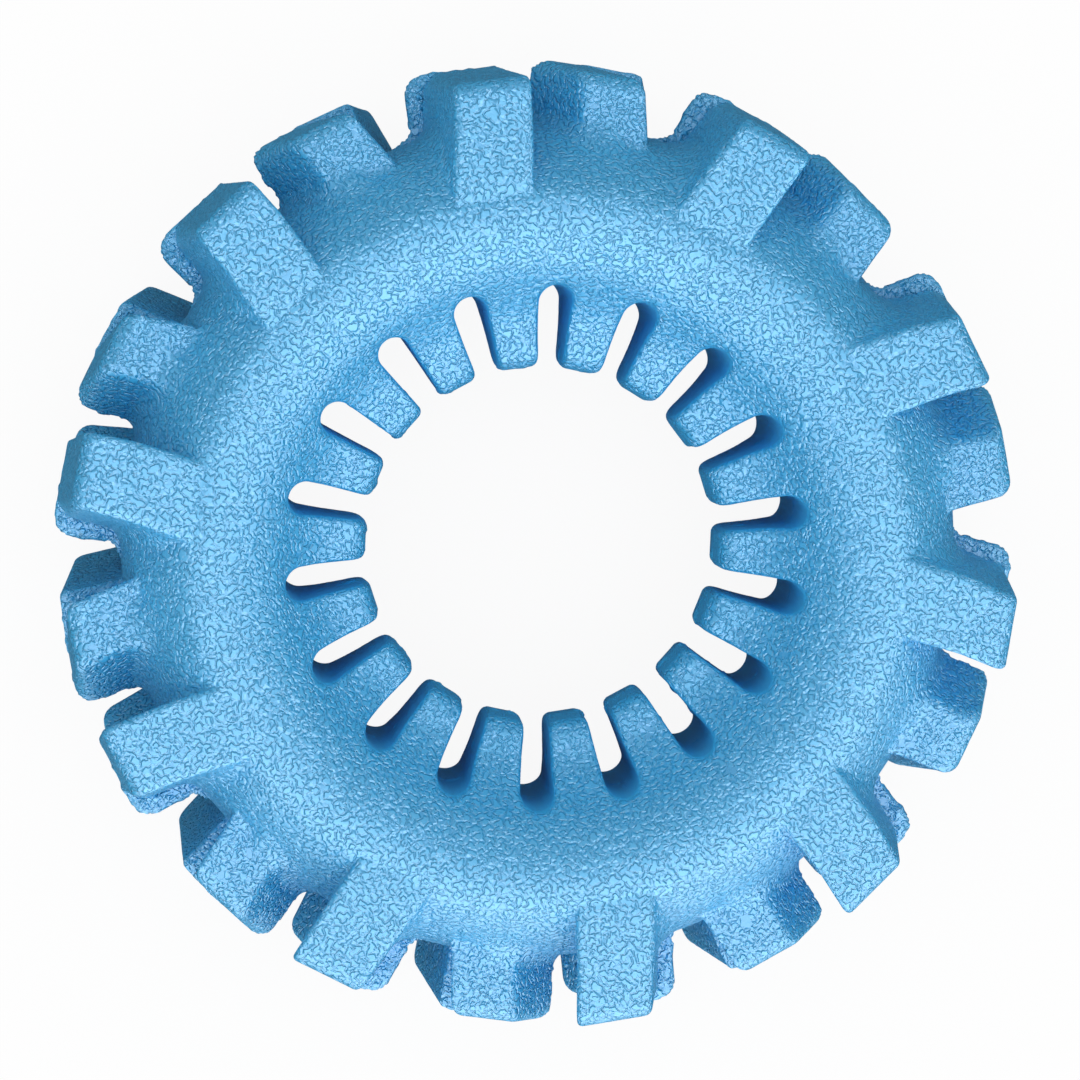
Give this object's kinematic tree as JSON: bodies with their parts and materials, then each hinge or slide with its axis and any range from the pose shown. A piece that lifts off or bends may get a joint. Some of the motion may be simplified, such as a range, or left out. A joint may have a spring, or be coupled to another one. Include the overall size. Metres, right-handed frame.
{
  "type": "rubber chew toy",
  "caption": "Ring-shaped rubber chew toy like a tractor tyre, with a staggered block tread outside and bending fingers round the hole.",
  "frame": {"origin": "centre of the ring, on the parting plane between its two halves", "axes": "+Z along the ring's axis towards the front face; the first front long lug stands 26 degrees from +X towards +Y"},
  "size_m": [0.154, 0.1542, 0.0408],
  "materials": {
    "rubber": "matte moulded rubber with a fine raised grain"
  },
  "bodies": {
    "casing": {"front_casing": "rubber", "rear_casing": "rubber", "front_long_lug_1": "rubber", "front_long_lug_2": "rubber", "front_long_lug_3": "rubber", "front_long_lug_4": "rubber", "front_long_lug_5": "rubber", "front_long_lug_6": "rubber", "front_long_lug_7": "rubber", "front_long_lug_8": "rubber", "front_long_lug_9": "rubber", "front_long_lug_10": "rubber", "front_short_lug_1": "rubber", "front_short_lug_2": "rubber", "front_short_lug_3": "rubber", "front_short_lug_4": "rubber", "front_short_lug_5": "rubber", "front_short_lug_6": "rubber", "front_short_lug_7": "rubber", "front_short_lug_8": "rubber", "front_short_lug_9": "rubber", "front_short_lug_10": "rubber", "rear_long_lug_1": "rubber", "rear_long_lug_2": "rubber", "rear_long_lug_3": "rubber", "rear_long_lug_4": "rubber", "rear_long_lug_5": "rubber", "rear_long_lug_6": "rubber", "rear_long_lug_7": "rubber", "rear_long_lug_8": "rubber", "rear_long_lug_9": "rubber", "rear_long_lug_10": "rubber", "rear_short_lug_1": "rubber", "rear_short_lug_2": "rubber", "rear_short_lug_3": "rubber", "rear_short_lug_4": "rubber", "rear_short_lug_5": "rubber", "rear_short_lug_6": "rubber", "rear_short_lug_7": "rubber", "rear_short_lug_8": "rubber", "rear_short_lug_9": "rubber", "rear_short_lug_10": "rubber"},
    "finger_1": {"finger_1": "rubber"},
    "finger_2": {"finger_2": "rubber"},
    "finger_3": {"finger_3": "rubber"},
    "finger_4": {"finger_4": "rubber"},
    "finger_5": {"finger_5": "rubber"},
    "finger_6": {"finger_6": "rubber"},
    "finger_7": {"finger_7": "rubber"},
    "finger_8": {"finger_8": "rubber"},
    "finger_9": {"finger_9": "rubber"},
    "finger_10": {"finger_10": "rubber"},
    "finger_11": {"finger_11": "rubber"},
    "finger_12": {"finger_12": "rubber"},
    "finger_13": {"finger_13": "rubber"},
    "finger_14": {"finger_14": "rubber"},
    "finger_15": {"finger_15": "rubber"},
    "finger_16": {"finger_16": "rubber"},
    "finger_17": {"finger_17": "rubber"},
    "finger_18": {"finger_18": "rubber"}
  },
  "joints": [
    {"name": "finger_1_bend", "type": "hinge", "parent": "casing", "child": "finger_1", "pos_m": [0.03614, 0.01174, 0], "axis": [-0.309, 0.9511, 0], "range_deg": [-20, 20], "stiffness_Nm_per_rad": 0.5},
    {"name": "finger_2_bend", "type": "hinge", "parent": "casing", "child": "finger_2", "pos_m": [0.02994, 0.02339, 0], "axis": [-0.6157, 0.788, 0], "range_deg": [-20, 20], "stiffness_Nm_per_rad": 0.5},
    {"name": "finger_3_bend", "type": "hinge", "parent": "casing", "child": "finger_3", "pos_m": [0.02014, 0.03223, 0], "axis": [-0.848, 0.5299, 0], "range_deg": [-20, 20], "stiffness_Nm_per_rad": 0.5},
    {"name": "finger_4_bend", "type": "hinge", "parent": "casing", "child": "finger_4", "pos_m": [0.0079, 0.03717, 0], "axis": [-0.9781, 0.2079, 0], "range_deg": [-20, 20], "stiffness_Nm_per_rad": 0.5},
    {"name": "finger_5_bend", "type": "hinge", "parent": "casing", "child": "finger_5", "pos_m": [-0.00529, 0.03763, 0], "axis": [-0.9903, -0.1392, 0], "range_deg": [-20, 20], "stiffness_Nm_per_rad": 0.5},
    {"name": "finger_6_bend", "type": "hinge", "parent": "casing", "child": "finger_6", "pos_m": [-0.01784, 0.03355, 0], "axis": [-0.8829, -0.4695, 0], "range_deg": [-20, 20], "stiffness_Nm_per_rad": 0.5},
    {"name": "finger_7_bend", "type": "hinge", "parent": "casing", "child": "finger_7", "pos_m": [-0.02824, 0.02543, 0], "axis": [-0.6691, -0.7431, 0], "range_deg": [-20, 20], "stiffness_Nm_per_rad": 0.5},
    {"name": "finger_8_bend", "type": "hinge", "parent": "casing", "child": "finger_8", "pos_m": [-0.03523, 0.01423, 0], "axis": [-0.3746, -0.9272, 0], "range_deg": [-20, 20], "stiffness_Nm_per_rad": 0.5},
    {"name": "finger_9_bend", "type": "hinge", "parent": "casing", "child": "finger_9", "pos_m": [-0.03798, 0.00133, 0], "axis": [-0.0349, -0.9994, 0], "range_deg": [-20, 20], "stiffness_Nm_per_rad": 0.5},
    {"name": "finger_10_bend", "type": "hinge", "parent": "casing", "child": "finger_10", "pos_m": [-0.03614, -0.01174, 0], "axis": [0.309, -0.9511, 0], "range_deg": [-20, 20], "stiffness_Nm_per_rad": 0.5},
    {"name": "finger_11_bend", "type": "hinge", "parent": "casing", "child": "finger_11", "pos_m": [-0.02994, -0.02339, 0], "axis": [0.6157, -0.788, 0], "range_deg": [-20, 20], "stiffness_Nm_per_rad": 0.5},
    {"name": "finger_12_bend", "type": "hinge", "parent": "casing", "child": "finger_12", "pos_m": [-0.02014, -0.03223, 0], "axis": [0.848, -0.5299, 0], "range_deg": [-20, 20], "stiffness_Nm_per_rad": 0.5},
    {"name": "finger_13_bend", "type": "hinge", "parent": "casing", "child": "finger_13", "pos_m": [-0.0079, -0.03717, 0], "axis": [0.9781, -0.2079, 0], "range_deg": [-20, 20], "stiffness_Nm_per_rad": 0.5},
    {"name": "finger_14_bend", "type": "hinge", "parent": "casing", "child": "finger_14", "pos_m": [0.00529, -0.03763, 0], "axis": [0.9903, 0.1392, 0], "range_deg": [-20, 20], "stiffness_Nm_per_rad": 0.5},
    {"name": "finger_15_bend", "type": "hinge", "parent": "casing", "child": "finger_15", "pos_m": [0.01784, -0.03355, 0], "axis": [0.8829, 0.4695, 0], "range_deg": [-20, 20], "stiffness_Nm_per_rad": 0.5},
    {"name": "finger_16_bend", "type": "hinge", "parent": "casing", "child": "finger_16", "pos_m": [0.02824, -0.02543, 0], "axis": [0.6691, 0.7431, 0], "range_deg": [-20, 20], "stiffness_Nm_per_rad": 0.5},
    {"name": "finger_17_bend", "type": "hinge", "parent": "casing", "child": "finger_17", "pos_m": [0.03523, -0.01423, 0], "axis": [0.3746, 0.9272, 0], "range_deg": [-20, 20], "stiffness_Nm_per_rad": 0.5},
    {"name": "finger_18_bend", "type": "hinge", "parent": "casing", "child": "finger_18", "pos_m": [0.03798, -0.00133, 0], "axis": [0.0349, 0.9994, 0], "range_deg": [-20, 20], "stiffness_Nm_per_rad": 0.5}
  ]
}
